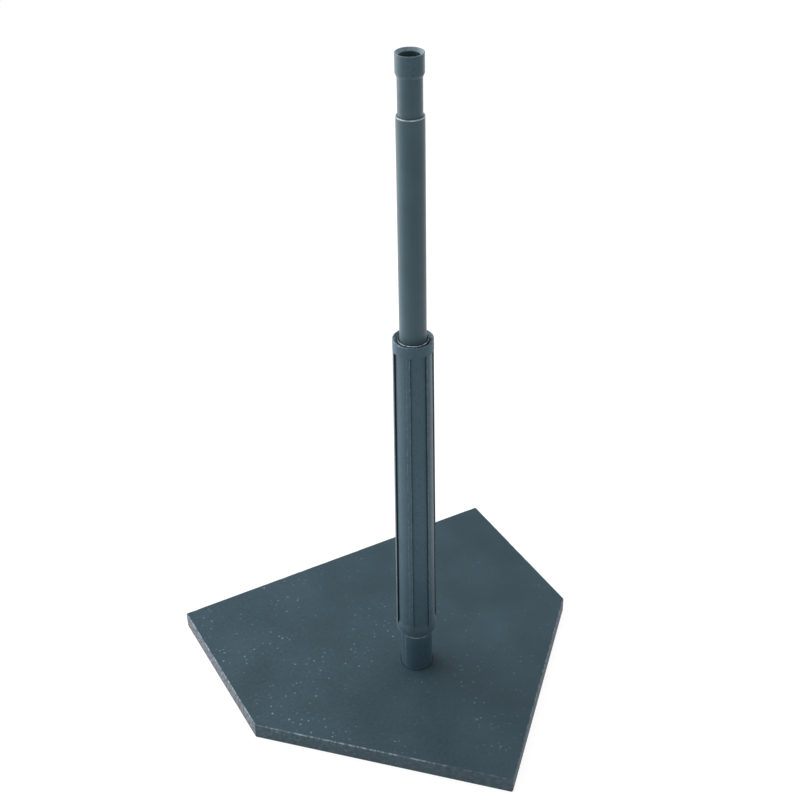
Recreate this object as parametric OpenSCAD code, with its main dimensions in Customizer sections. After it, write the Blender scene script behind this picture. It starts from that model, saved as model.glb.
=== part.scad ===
// Batting tee: a home plate base, a ribbed sleeve, two telescoping tubes and a ball cup.
// Millimetres, +Z up. The origin is on the post's axis, at the underside of the base.

/* [Base plate] */
// Width of the plate across its straight edge
plate_w = 431.8; // [360:0.1:500]
// Length of the plate's two parallel sides
plate_side = 215.9; // [180:0.1:260]
// Depth of the plate's pointed end
plate_tip = 215.9; // [180:0.1:260]
// Thickness of the plate
plate_t = 20; // [17:0.5:30]
// Bevel along the plate's top edges
plate_bevel = 1.5; // [0.5:0.1:3]

/* [Base socket] */
// Outside diameter of the socket
socket_d = 36.4; // [34:0.1:40]
// Height of the socket above the plate
socket_h = 51.5; // [30:0.5:80]
// Wall of the socket around the post's tail
socket_wall = 3.3; // [2.5:0.1:4]
// Thickness of the socket's floor, above the flange
socket_floor = 2; // [1:0.5:5]
// Diameter of the flange under the plate
flange_d = 92; // [84:0.5:110]
// Thickness of the flange
flange_t = 5; // [4:0.5:7]
// Height of the flange above the ground
flange_lift = 1; // [0.5:0.1:2]

/* [Flange screws] */
// Number of screws in the flange
screw_count = 4; // [3:1:6]
// Diameter of the circle of screws
screw_circle_d = 66; // [60:0.5:70]
// Diameter of a screw's shank
screw_d = 4; // [3:0.1:5]
// Depth of a screw in the plate
screw_grip = 9; // [5:0.5:10]
// Diameter of a screw's head
screw_head_d = 8; // [7:0.1:10]
// Height of a screw's head
screw_head_h = 2.4; // [1.8:0.1:2.8]

/* [Ribbed sleeve] */
// Height of the sleeve above the socket
sleeve_h = 406.5; // [340:0.5:480]
// Outside diameter at the sleeve's mouth
sleeve_top_d = 43.4; // [42.5:0.1:48]
// Outside diameter at the sleeve's foot
sleeve_base_d = 47.8; // [45:0.1:54]
// Height of the straight lip that sits on the socket
lip_h = 2; // [1:0.5:6]
// Height of the rounded shoulder above the lip
shoulder_h = 8; // [6:0.5:24]
// Number of ribs around the sleeve
rib_count = 6; // [4:1:8]
// Width of a rib, in degrees around the sleeve
rib_angle = 11; // [6:0.5:18]
// Turn of the ribs about the post's axis, in degrees
rib_turn = 46; // [0:1:60]
// Depth of the panels between the ribs
panel_depth = 2.2; // [1:0.1:2.5]
// Height of the smooth collar above the panels
collar_h = 13; // [10:0.5:30]
// Height of the smooth band between the shoulder and the panels
foot_band_h = 4; // [2:0.5:20]
// Width of the sleeve's rim, outside its flared mouth
rim_w = 1.4; // [1:0.1:2.4]
// Depth of the flared mouth, down to the liner
mouth_depth = 3.5; // [3:0.5:10]

/* [Sleeve liner] */
// Wall of the liner tube
liner_wall = 2; // [1.5:0.1:2.2]
// Drop of the liner's top below the sleeve's rim
liner_drop = 0.8; // [0.5:0.1:5]
// Thickness of the liner's inner ledge, above the socket
ledge_t = 4; // [2:0.5:8]
// Length of the tail in the socket
tail_len = 54; // [30:0.5:56]
// Wall of the tail
tail_wall = 3; // [2:0.1:4]

/* [Middle tube] */
// Outside diameter of the middle tube
middle_d = 28.4; // [27:0.1:28.8]
// Wall of the middle tube
middle_wall = 1.6; // [1.2:0.1:2]
// Length of the middle tube
middle_len = 400; // [330:0.5:450]
// Height of the middle tube's rim above the sleeve's rim
middle_out = 242.5; // [200:0.5:260]

/* [Upper tube] */
// Wall of the upper tube
upper_wall = 1.9; // [1.4:0.1:2.4]
// Length of the upper tube
upper_len = 330; // [240:0.5:350]
// Height of the upper tube's end above the middle tube's rim
upper_out = 57; // [50:0.5:70]

/* [Ball cup] */
// Outside diameter of the cup
cup_d = 28.2; // [27.4:0.1:32]
// Height of the cup's straight side
cup_h = 19; // [14:0.5:30]
// Height of the cup's chamfer down to the tube
cup_chamfer_h = 3.2; // [2:0.1:8]
// Edge of the cup where the chamfer meets the tube
cup_edge = 0.4; // [0.2:0.1:0.8]
// Width of the cup's flat rim
cup_rim = 0.9; // [0.5:0.1:1.2]
// Depth of the conical seat for the ball
seat_depth = 3; // [2.5:0.5:8]

/* [End plugs and grip rings] */
// Length of a plug inside its tube
plug_spigot = 24; // [15:0.5:40]
// Length of a plug below its tube
plug_collar = 22; // [20:0.5:40]
// Wall of a plug
plug_wall = 2; // [1.4:0.1:2.6]
// Width of a grip ring
ring_w = 4; // [3:0.1:5]
// Radial thickness of a grip ring
ring_t = 1.6; // [1.2:0.1:1.8]
// Distance between the two grip rings of a plug
ring_pitch = 9; // [8:0.1:10]

/* [Fits] */
// Radial gap between one tube and the next
slide_gap = 0.3; // [0.2:0.05:0.4]
// Radial gap between a grip ring and the bore that it rubs
grip_gap = 0.05; // [0.02:0.01:0.1]
// Radial gap of pieces that are pushed or glued together
push_gap = 0.05; // [0.02:0.01:0.1]
// Radial gap of the post's tail in the socket
tail_gap = 0.08; // [0.04:0.01:0.1]

/* [Edges] */
// Small chamfer on the tubes' and rims' edges
edge = 0.4; // [0.2:0.1:0.6]

/* [Hidden] */
$fn = 96;
over = 1;
arc_step = 9;
drive_slot_w = 0.9;
drive_slot_len = 4.4;
drive_slot_depth = 1.3;

socket_r = socket_d / 2;
socket_top = plate_t + socket_h;
flange_top = flange_lift + flange_t;
tail_seat_r = socket_r - socket_wall;
tail_r = tail_seat_r - tail_gap;
tail_lead = 2 * edge;

middle_r = middle_d / 2;
middle_bore_r = middle_r - middle_wall;
upper_r = middle_bore_r - slide_gap;
upper_bore_r = upper_r - upper_wall;
liner_bore_r = middle_r + slide_gap;
liner_r = liner_bore_r + liner_wall;

sleeve_top = socket_top + sleeve_h;
sleeve_top_r = sleeve_top_d / 2;
sleeve_base_r = sleeve_base_d / 2;
sleeve_bore_r = liner_r + push_gap;
shoulder_z = socket_top + lip_h;
sleeve_base_z = shoulder_z + shoulder_h;
mouth_r = sleeve_top_r - rim_w;
mouth_z = sleeve_top - mouth_depth;
panel_low = sleeve_base_z + foot_band_h;
panel_high = sleeve_top - collar_h;
panel_step = 360 / rib_count;

liner_top = sleeve_top - liner_drop;
ledge_z = socket_top + ledge_t;
middle_top = sleeve_top + middle_out;
middle_low = middle_top - middle_len;
upper_top = middle_top + upper_out;
upper_low = upper_top - upper_len;

cup_r = cup_d / 2;
cup_bore_r = upper_r + push_gap;
cup_seat_z = upper_top + push_gap;
cup_lip_z = cup_seat_z + edge;
cup_top = cup_lip_z + seat_depth;
cup_side_z = cup_top - cup_h;
cup_low = cup_side_z - cup_chamfer_h;

plate_outline = [
    [-plate_w / 2, plate_side],
    [-plate_w / 2, 0],
    [0, -plate_tip],
    [plate_w / 2, 0],
    [plate_w / 2, plate_side]
];

// Outside radius of the tapered sleeve at a height
function sleeve_r(z) =
    sleeve_base_r + (sleeve_top_r - sleeve_base_r) * (z - sleeve_base_z) / (sleeve_top - sleeve_base_z);

// Places a copy at each screw of the flange
module at_screws() {
    for (i = [0 : screw_count - 1])
        rotate(i * 360 / screw_count)
            translate([screw_circle_d / 2, 0, 0])
                children();
}

// Square bar along one top edge of the plate, which cuts its bevel
module edge_bar(from, to) {
    along = to - from;
    translate([from.x, from.y, plate_t])
        rotate(atan2(along.y, along.x))
            translate([norm(along) / 2, 0, 0])
                rotate([45, 0, 0])
                    cube([norm(along) + 4 * plate_bevel, sqrt(2) * plate_bevel, sqrt(2) * plate_bevel], center = true);
}

// Straight tube with chamfered ends
module tube(outer_r, inner_r, low, high) {
    rotate_extrude()
        polygon([
            [inner_r, low],
            [outer_r - edge, low],
            [outer_r, low + edge],
            [outer_r, high - edge],
            [outer_r - edge, high],
            [inner_r + edge, high],
            [inner_r, high - edge]
        ]);
}

// Height of the lower or the upper grip ring's middle on a plug
function ring_z(tube_low, place) = tube_low - plug_collar / 2 + place * ring_pitch / 2;

// Floor of a ring's groove, from the bore that the ring rubs
function groove_r(bore_r) = bore_r - grip_gap - ring_t - push_gap;

// Plug at the lower end of a sliding tube, with two grooves for grip rings
module end_plug(tube_r, tube_bore_r, tube_low, bore_r) {
    spigot_r = tube_bore_r - push_gap;
    hole_r = spigot_r - plug_wall;
    groove_w = ring_w + 2 * push_gap;
    difference() {
        rotate_extrude()
            polygon([
                [hole_r, tube_low - plug_collar],
                [tube_r - edge, tube_low - plug_collar],
                [tube_r, tube_low - plug_collar + edge],
                [tube_r, tube_low],
                [spigot_r, tube_low],
                [spigot_r, tube_low + plug_spigot - edge],
                [spigot_r - edge, tube_low + plug_spigot],
                [hole_r, tube_low + plug_spigot]
            ]);
        for (place = [-1, 1])
            rotate_extrude()
                translate([groove_r(bore_r), ring_z(tube_low, place) - groove_w / 2])
                    square([tube_r, groove_w]);
    }
}

// Rubber ring that rubs in a bore, with softened outer edges
module grip_ring(bore_r, z) {
    outer_r = bore_r - grip_gap;
    inner_r = outer_r - ring_t;
    rotate_extrude()
        polygon([
            [inner_r, z - ring_w / 2],
            [outer_r - edge, z - ring_w / 2],
            [outer_r, z - ring_w / 2 + edge],
            [outer_r, z + ring_w / 2 - edge],
            [outer_r - edge, z + ring_w / 2],
            [inner_r, z + ring_w / 2]
        ]);
}

module base_plate() {
    pilot_h = screw_grip + 1;
    color("#41505a")
        difference() {
            linear_extrude(plate_t)
                polygon(plate_outline);
            for (i = [0 : len(plate_outline) - 1])
                edge_bar(plate_outline[i], plate_outline[(i + 1) % len(plate_outline)]);
            translate([0, 0, -over])
                cylinder(r = flange_d / 2 + slide_gap, h = flange_top + over);
            cylinder(r = socket_r + push_gap, h = plate_t + over);
            at_screws()
                cylinder(r = screw_d / 2 + push_gap, h = flange_top + pilot_h);
        }
}

module base_socket() {
    color("#38454e")
        difference() {
            rotate_extrude()
                polygon([
                    [0, flange_lift],
                    [flange_d / 2 - edge, flange_lift],
                    [flange_d / 2, flange_lift + edge],
                    [flange_d / 2, flange_top],
                    [socket_r, flange_top],
                    [socket_r, socket_top - edge],
                    [socket_r - edge, socket_top],
                    [tail_seat_r + edge, socket_top],
                    [tail_seat_r, socket_top - edge],
                    [tail_seat_r, flange_top + socket_floor],
                    [0, flange_top + socket_floor]
                ]);
            at_screws() {
                cylinder(r = screw_d / 2 + push_gap, h = flange_top + over);
                translate([0, 0, -over])
                    cylinder(r = screw_head_d / 2 + push_gap, h = flange_lift + screw_head_h + over);
            }
        }
}

module socket_screws() {
    color("silver")
        at_screws()
            translate([0, 0, flange_lift])
                difference() {
                    union() {
                        cylinder(d = screw_head_d, h = screw_head_h);
                        cylinder(d = screw_d, h = flange_t + screw_grip);
                    }
                    for (turn = [0, 90])
                        rotate(turn)
                            translate([-drive_slot_len / 2, -drive_slot_w / 2, -over])
                                cube([drive_slot_len, drive_slot_w, drive_slot_depth + over]);
                }
}

module ribbed_sleeve() {
    shoulder_w = sleeve_base_r - socket_r;
    shoulder = [
        for (a = [0 : arc_step : 90])
            [socket_r + shoulder_w * sin(a), sleeve_base_z - shoulder_h * cos(a)]
    ];
    color("#44535d")
        difference() {
            rotate_extrude()
                polygon(concat(
                    [[sleeve_bore_r, socket_top], [socket_r - edge, socket_top], [socket_r, socket_top + edge]],
                    shoulder,
                    [
                        [sleeve_top_r, sleeve_top - 2 * edge],
                        [sleeve_top_r - 2 * edge, sleeve_top],
                        [mouth_r, sleeve_top],
                        [sleeve_bore_r, mouth_z]
                    ]
                ));
            for (i = [0 : rib_count - 1])
                rotate(rib_turn + rib_angle / 2 + i * panel_step)
                    rotate_extrude(angle = panel_step - rib_angle)
                        polygon([
                            [sleeve_r(panel_low) - panel_depth, panel_low],
                            [sleeve_base_r + over, panel_low],
                            [sleeve_base_r + over, panel_high],
                            [sleeve_r(panel_high) - panel_depth, panel_high]
                        ]);
        }
}

module sleeve_liner() {
    color("#4d5c66")
        rotate_extrude()
            polygon([
                [tail_r - tail_wall, socket_top - tail_len],
                [tail_r - tail_lead, socket_top - tail_len],
                [tail_r, socket_top - tail_len + tail_lead],
                [tail_r, socket_top],
                [liner_r, socket_top],
                [liner_r, liner_top - edge],
                [liner_r - edge, liner_top],
                [liner_bore_r + edge, liner_top],
                [liner_bore_r, liner_top - edge],
                [liner_bore_r, ledge_z],
                [tail_r - tail_wall, ledge_z]
            ]);
}

module middle_tube() {
    color("#4a5963")
        tube(middle_r, middle_bore_r, middle_low, middle_top);
}

module middle_end_plug() {
    color("#2c363d")
        end_plug(middle_r, middle_bore_r, middle_low, liner_bore_r);
}

module middle_grip_ring_lower() {
    color("#22292e")
        grip_ring(liner_bore_r, ring_z(middle_low, -1));
}

module middle_grip_ring_upper() {
    color("#22292e")
        grip_ring(liner_bore_r, ring_z(middle_low, 1));
}

module upper_tube() {
    color("#4d5c66")
        tube(upper_r, upper_bore_r, upper_low, upper_top);
}

module upper_end_plug() {
    color("#2c363d")
        end_plug(upper_r, upper_bore_r, upper_low, middle_bore_r);
}

module upper_grip_ring_lower() {
    color("#22292e")
        grip_ring(middle_bore_r, ring_z(upper_low, -1));
}

module upper_grip_ring_upper() {
    color("#22292e")
        grip_ring(middle_bore_r, ring_z(upper_low, 1));
}

module ball_cup() {
    color("#44535d")
        rotate_extrude()
            polygon([
                [cup_bore_r, cup_low],
                [cup_bore_r + cup_edge, cup_low],
                [cup_r, cup_side_z],
                [cup_r, cup_top - edge],
                [cup_r - edge, cup_top],
                [cup_r - cup_rim, cup_top],
                [upper_bore_r, cup_lip_z],
                [upper_bore_r, cup_seat_z],
                [cup_bore_r, cup_seat_z]
            ]);
}

base_plate();
base_socket();
socket_screws();
ribbed_sleeve();
sleeve_liner();
middle_tube();
middle_end_plug();
middle_grip_ring_lower();
middle_grip_ring_upper();
upper_tube();
upper_end_plug();
upper_grip_ring_lower();
upper_grip_ring_upper();
ball_cup();
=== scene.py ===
import math
import bmesh
import bpy
from mathutils import Matrix, Vector, noise


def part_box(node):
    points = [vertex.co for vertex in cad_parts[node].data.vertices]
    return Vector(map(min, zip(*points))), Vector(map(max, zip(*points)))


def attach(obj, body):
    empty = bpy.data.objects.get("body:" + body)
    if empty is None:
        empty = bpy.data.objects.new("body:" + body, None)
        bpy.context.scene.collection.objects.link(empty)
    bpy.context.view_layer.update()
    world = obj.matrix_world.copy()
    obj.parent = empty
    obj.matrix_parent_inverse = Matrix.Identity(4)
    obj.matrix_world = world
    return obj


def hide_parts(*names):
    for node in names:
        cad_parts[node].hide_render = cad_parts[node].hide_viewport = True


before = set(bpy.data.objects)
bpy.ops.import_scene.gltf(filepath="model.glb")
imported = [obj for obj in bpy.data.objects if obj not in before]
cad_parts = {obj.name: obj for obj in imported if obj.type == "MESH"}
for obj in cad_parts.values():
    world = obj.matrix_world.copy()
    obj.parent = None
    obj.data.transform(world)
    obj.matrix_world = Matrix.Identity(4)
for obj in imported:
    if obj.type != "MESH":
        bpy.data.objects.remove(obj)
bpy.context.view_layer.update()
mm = 0.001


# Small helpers

def hexToLinear(code):  # sRGB hex such as "41535e" to linear RGBA
    channels = [int(code[i:i + 2], 16) / 255 for i in (0, 2, 4)]
    linear = [c / 12.92 if c <= 0.04045 else ((c + 0.055) / 1.055) ** 2.4 for c in channels]
    return (*linear, 1.0)


def addNode(tree, kind, inputs=None, **settings):  # inputs hold values, or sockets to link from
    node = tree.nodes.new(kind)
    for key, value in settings.items():
        setattr(node, key, value)
    for key, value in (inputs or {}).items():
        if isinstance(value, bpy.types.NodeSocket):
            tree.links.new(value, node.inputs[key])
        else:
            node.inputs[key].default_value = value
    return node.outputs


def nodeRadius(name):  # half the width of a round CAD node
    low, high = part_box(name)
    return (high.x - low.x) / 2


def cornerArc(before, here, after, radius, steps, mostShare=0.45):
    # centre of a corner's arc, and the spokes to its points; it takes up mostShare of a side at most
    a, b = before - here, after - here
    room = mostShare * min(a.length, b.length)
    a, b = a.normalized(), b.normalized()
    half = a.angle(b) / 2
    reach = min(radius / math.tan(half), room)
    centre = here + (a + b).normalized() * (reach / math.cos(half))
    start, end = here + a * reach - centre, here + b * reach - centre
    turn = start.angle_signed(end)
    return centre, [Matrix.Rotation(-turn * k / steps, 2) @ start for k in range(steps + 1)]


def roundedProfile(corners, arcSteps=6, support=0.6 * mm):
    # corners are (radius, height, fillet, wear, tone of the run that follows), the tone may be left out;
    # wear and tone are pale above zero, as wear and in places painted highlight or painted light, and dark
    # below it as painted shade
    points = []
    count = len(corners)
    for i, (r, z, fillet, wear, *run) in enumerate(corners):
        tone = run[0] if run else 0.0
        if fillet <= 0:
            points.append((r, z, wear, tone))
            continue
        before, after = Vector(corners[i - 1][:2]), Vector(corners[(i + 1) % count][:2])
        centre, spokes = cornerArc(before, Vector((r, z)), after, fillet, arcSteps)
        points += [(*(centre + spoke), wear, tone) for spoke in spokes]
    held = []
    for i, (r, z, wear, tone) in enumerate(points):
        held.append((r, z, wear))
        nextR, nextZ = points[(i + 1) % len(points)][:2]
        run = Vector((nextR - r, nextZ - z))
        if run.length > 4 * support and (r > 0 or nextR > 0):  # support points hold the arcs' shading
            step = run.normalized() * support
            held.append((r + step.x, z + step.y, tone))
            held.append((nextR - step.x, nextZ - step.y, tone))
    return held


def placeObject(name, data):  # new object in the scene
    made = bpy.data.objects.new(name, data)
    bpy.context.scene.collection.objects.link(made)
    return made


def storeValues(mesh, name, values):  # one number for each point of the mesh
    mesh.attributes.new(name, "FLOAT", "POINT").data.foreach_set("value", values)


sharpAngle = math.radians(42)  # edges with a greater turn stay crisp


def meshObject(name, vertices, faces, wear):  # closed mesh with smooth faces and an wearAndPaintedLight attribute
    mesh = bpy.data.meshes.new(name)
    mesh.from_pydata(vertices, [], faces)
    # the attribute holds wear and painted highlights above zero, and painted shade below zero
    storeValues(mesh, "wearAndPaintedLight", wear)
    shape = bmesh.new()
    shape.from_mesh(mesh)
    bmesh.ops.recalc_face_normals(shape, faces=shape.faces)
    shape.to_mesh(mesh)
    shape.free()
    mesh.polygons.foreach_set("use_smooth", [True] * len(mesh.polygons))
    mesh.set_sharp_from_angle(angle=sharpAngle)
    return placeObject(name, mesh)


def latheObject(name, profile, segments=128, angles=None, litSide=None, leastShare=0.1):
    # turns a profile about the post's axis; the side given in degrees gets the strongest pale edges, a painted
    # highlight
    angles = angles or [2 * math.pi * j / segments for j in range(segments)]
    segments = len(angles)
    favour = [1.0] * segments  # share of the painted highlight on the pale edges that each side gets
    if litSide is not None:
        facing = [max(0.0, math.cos(a - math.radians(litSide))) for a in angles]
        favour = [leastShare + (1 - leastShare) * f for f in facing]
    vertices, wear, rings, faces = [], [], [], []
    for r, z, worn in profile:
        around = segments if r > 0 else 1  # a point on the axis is a pole
        start = len(vertices)
        rings.append([start + j % around for j in range(segments)])
        for a, share in zip(angles[:around], favour):
            vertices.append((r * math.cos(a), r * math.sin(a), z))
            wear.append(worn * share if worn > 0 else worn)
    last = len(rings) - (0 if profile[0][0] > 0 else 1)  # a profile that starts on the axis stays open there
    for i in range(last):
        low, high = rings[i], rings[(i + 1) % len(rings)]
        for j in range(segments):
            k = (j + 1) % segments
            loop = list(dict.fromkeys((low[j], low[k], high[k], high[j])))
            if len(loop) > 2:
                faces.append(loop)
    return meshObject(name, vertices, faces, wear)


def bakeModifiers(made):  # turns the evaluated shape into a plain mesh
    graph = bpy.context.evaluated_depsgraph_get()
    baked = bpy.data.meshes.new_from_object(made.evaluated_get(graph))
    made.modifiers.clear()
    made.data = baked
    return made


def newTree(name, inputs, output):  # geometry tree with named inputs, and the sockets that give them
    tree = bpy.data.node_groups.new(name, "GeometryNodeTree")
    for socket, kind in inputs.items():
        tree.interface.new_socket(socket, in_out="INPUT", socket_type="NodeSocket" + kind)
    tree.interface.new_socket(output, in_out="OUTPUT", socket_type="NodeSocketGeometry")
    return tree, addNode(tree, "NodeGroupInput")


def endTree(tree, shape, finish):  # instances made real, with their finish
    real = addNode(tree, "GeometryNodeRealizeInstances", {0: shape})
    painted = addNode(tree, "GeometryNodeSetMaterial", {"Geometry": real[0], "Material": finish})
    addNode(tree, "NodeGroupOutput", {0: painted[0]})


def nodeModifier(made, tree, values):  # inputs are set by their identifiers
    modifier = made.modifiers.new(tree.name, "NODES")
    modifier.node_group = tree
    for item in tree.interface.items_tree:
        if item.in_out == "INPUT" and item.name in values:
            modifier[item.identifier] = values[item.name]


def dress(made, material, body, node):  # finish, body and CAD node of one piece
    made.data.materials.clear()
    made.data.materials.append(material)
    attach(made, body)
    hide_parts(node)
    print("piece ready:", made.name, len(made.data.polygons), "faces")


# Materials

mixNode, mathNode = "ShaderNodeMix", "ShaderNodeMath"
mapNode, noiseNode = "ShaderNodeMapRange", "ShaderNodeTexNoise"
softStep = {"interpolation_type": "SMOOTHSTEP"}
bloomSpread = 0.4  # how far the bloom reaches in from the edges


def newFinish(name, ior, specular, bloom=0.0):  # material, its tree, its shader and the Object coordinates
    material = bpy.data.materials.new(name)
    material.use_nodes = True
    tree = material.node_tree
    shader = tree.nodes["Principled BSDF"]
    shader.inputs["IOR"].default_value = ior
    shader.inputs["Specular IOR Level"].default_value = specular
    shader.inputs["Sheen Weight"].default_value = bloom  # pale bloom that shows at grazing angles
    shader.inputs["Sheen Roughness"].default_value = bloomSpread
    return material, tree, shader, addNode(tree, "ShaderNodeTexCoord")["Object"]


def bodyColour(tree, look, tone, low, high):  # from base to pale as the tone goes from low to high
    share = addNode(tree, mapNode, {"Value": tone, "From Min": low, "From Max": high})
    return addNode(tree, mixNode, {
        0: share[0], 6: hexToLinear(look["base"]), 7: hexToLinear(look["pale"])}, data_type="RGBA")


def gritCells(tree, look, coords, least):  # cells, their random values, dot sizes and which of them hold grit
    cells = addNode(tree, "ShaderNodeTexVoronoi", {"Vector": coords, "Scale": 1 / look["grit"]})
    chance = addNode(tree, "ShaderNodeSeparateColor", {"Color": cells["Color"]})
    size = addNode(tree, mapNode, {
        "Value": chance["Blue"], "To Min": least * look["gritRadius"], "To Max": look["gritRadius"]})
    chosen = addNode(tree, mathNode, {0: chance["Red"], 1: 1 - look["gritShare"]}, operation="GREATER_THAN")
    return cells, chance, size, chosen


def edgeRubbing(tree, look, coords, detail, low, high):  # the edges' pale mark (wear and painted highlight), the noise that breaks it, and both
    edge = addNode(tree, "ShaderNodeAttribute", attribute_name="wearAndPaintedLight")
    rub = addNode(tree, noiseNode, {"Vector": coords, "Scale": 1 / look["wear"], "Detail": detail})
    broken = addNode(tree, mapNode, {
        "Value": rub["Fac"], "From Min": low, "From Max": high,
        "To Min": look["wornLeast"], "To Max": look["wornEdge"]})
    paleRubAndHighlight = addNode(tree, mathNode, {0: edge["Fac"], 1: broken[0]}, operation="MULTIPLY", use_clamp=True)
    return edge, broken, paleRubAndHighlight


def layColours(tree, shader, colour, layers):  # the body's colour, with each mark over it by its share
    for share, code in layers:
        colour = addNode(tree, mixNode, {0: share, 6: colour, 7: hexToLinear(code)}, data_type="RGBA")[2]
    tree.links.new(colour, shader.inputs["Base Color"])


# Press-moulded filled rubber: dull and faintly cloudy, with a fine mould grain and pale grit in the surface.
# The grain and the grit are drawn a little coarser than life, so that they show at this distance.
plainRubber = {  # what the round pieces share
    "specular": 0.20, "mottleShare": 1.0, "scuffLeast": 1.0, "grain": 0.9 * mm, "grit": 8 * mm, "gritMost": 0.5}
mouldedRubber = {
    "plate": {
        "base": "22353e", "pale": "3e545e", "roughness": 0.60, "specular": 0.18, "bloom": 0.0,
        "cloud": 70 * mm, "mottle": 4.0 * mm, "mottleShare": 0.5, "grain": 1.1 * mm, "scuffLeast": 0.25,
        "grit": 6.0 * mm, "gritShare": 0.75, "gritRadius": 0.5, "gritMost": 0.5,
        "wear": 4.5 * mm, "wornEdge": 0.7, "wornLeast": 0.16},
    "sleeve": {
        **plainRubber, "base": "354d59", "pale": "48616e", "roughness": 0.50, "bloom": 0.15,
        "cloud": 50 * mm, "mottle": 2.0 * mm, "gritShare": 0.5, "gritRadius": 0.10,
        "wear": 4 * mm, "wornEdge": 0.5, "wornLeast": 0.06},
    "socket": {
        **plainRubber, "base": "2d434d", "pale": "3f5762", "roughness": 0.52, "bloom": 0.0,
        "cloud": 40 * mm, "mottle": 2.0 * mm, "gritShare": 0.5, "gritRadius": 0.09,
        "wear": 5 * mm, "wornEdge": 0.5, "wornLeast": 0.25},
    "cup": {
        **plainRubber, "base": "354b55", "pale": "485f69", "roughness": 0.46, "bloom": 0.3,
        "cloud": 30 * mm, "mottle": 1.8 * mm, "gritShare": 0.4, "gritRadius": 0.08,
        "wear": 4 * mm, "wornEdge": 0.55, "wornLeast": 0.35},
    "ring": {  # nitrile: near black, even and matt
        **plainRubber, "base": "181e22", "pale": "283036", "roughness": 0.64, "specular": 0.3, "bloom": 0.0,
        "cloud": 20 * mm, "mottle": 1.5 * mm, "grain": 0.7 * mm, "gritShare": 0.1, "gritRadius": 0.06,
        "wear": 5 * mm, "wornEdge": 0.0, "wornLeast": 0.0},
}
rubberMarks = {  # the same on every rubber piece
    # pale for rubbed edges and painted highlights, dust with a painted sheen, and near black for painted shade
    "paleRubAndHighlight": "a4b9c4", "dustAndSheen": "c4bac1", "shadeDark": "050a0d",
    "scuffLeft": -120 * mm, "scuffRight": 150 * mm,
    "ior": 1.52, "roughSpread": 0.07, "reliefHigh": 0.1 * mm, "reliefShare": 0.25,
}


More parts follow.
